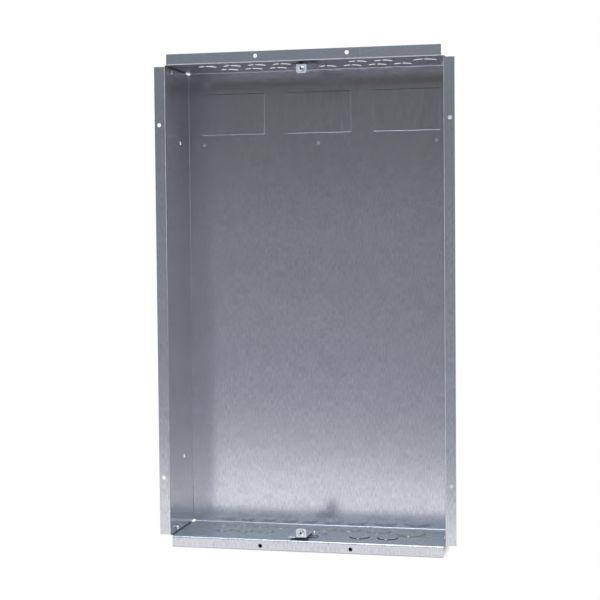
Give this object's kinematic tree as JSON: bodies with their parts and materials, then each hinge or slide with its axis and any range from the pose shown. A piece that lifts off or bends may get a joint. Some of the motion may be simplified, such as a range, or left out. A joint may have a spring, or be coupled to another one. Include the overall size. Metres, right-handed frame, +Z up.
{
  "type": "distribution board back box",
  "caption": "Folded sheet-steel back box for a recessed distribution board, with outward flanges, sheared knockouts in its end walls and cover brackets.",
  "frame": {"origin": "middle of the rear panel's outside face, which lies against the back of the wall recess", "axes": "+Y into the building's wall, +X to the right and +Z up as seen from the open front"},
  "size_m": [0.41, 0.11, 0.675],
  "materials": {
    "galvanised_sheet": "galvanised, satin with fine grain",
    "zinc_bracket": "bright zinc plated",
    "zinc_fastener": "bright zinc plated",
    "rivet": "plain"
  },
  "bodies": {
    "root": {"back_box": "galvanised_sheet", "top_cover_bracket": "zinc_bracket", "bottom_cover_bracket": "zinc_bracket", "cover_screws": "zinc_fastener", "bracket_bolts": "zinc_fastener", "bracket_nuts": "zinc_fastener", "corner_rivets": "rivet"}
  },
  "joints": []
}
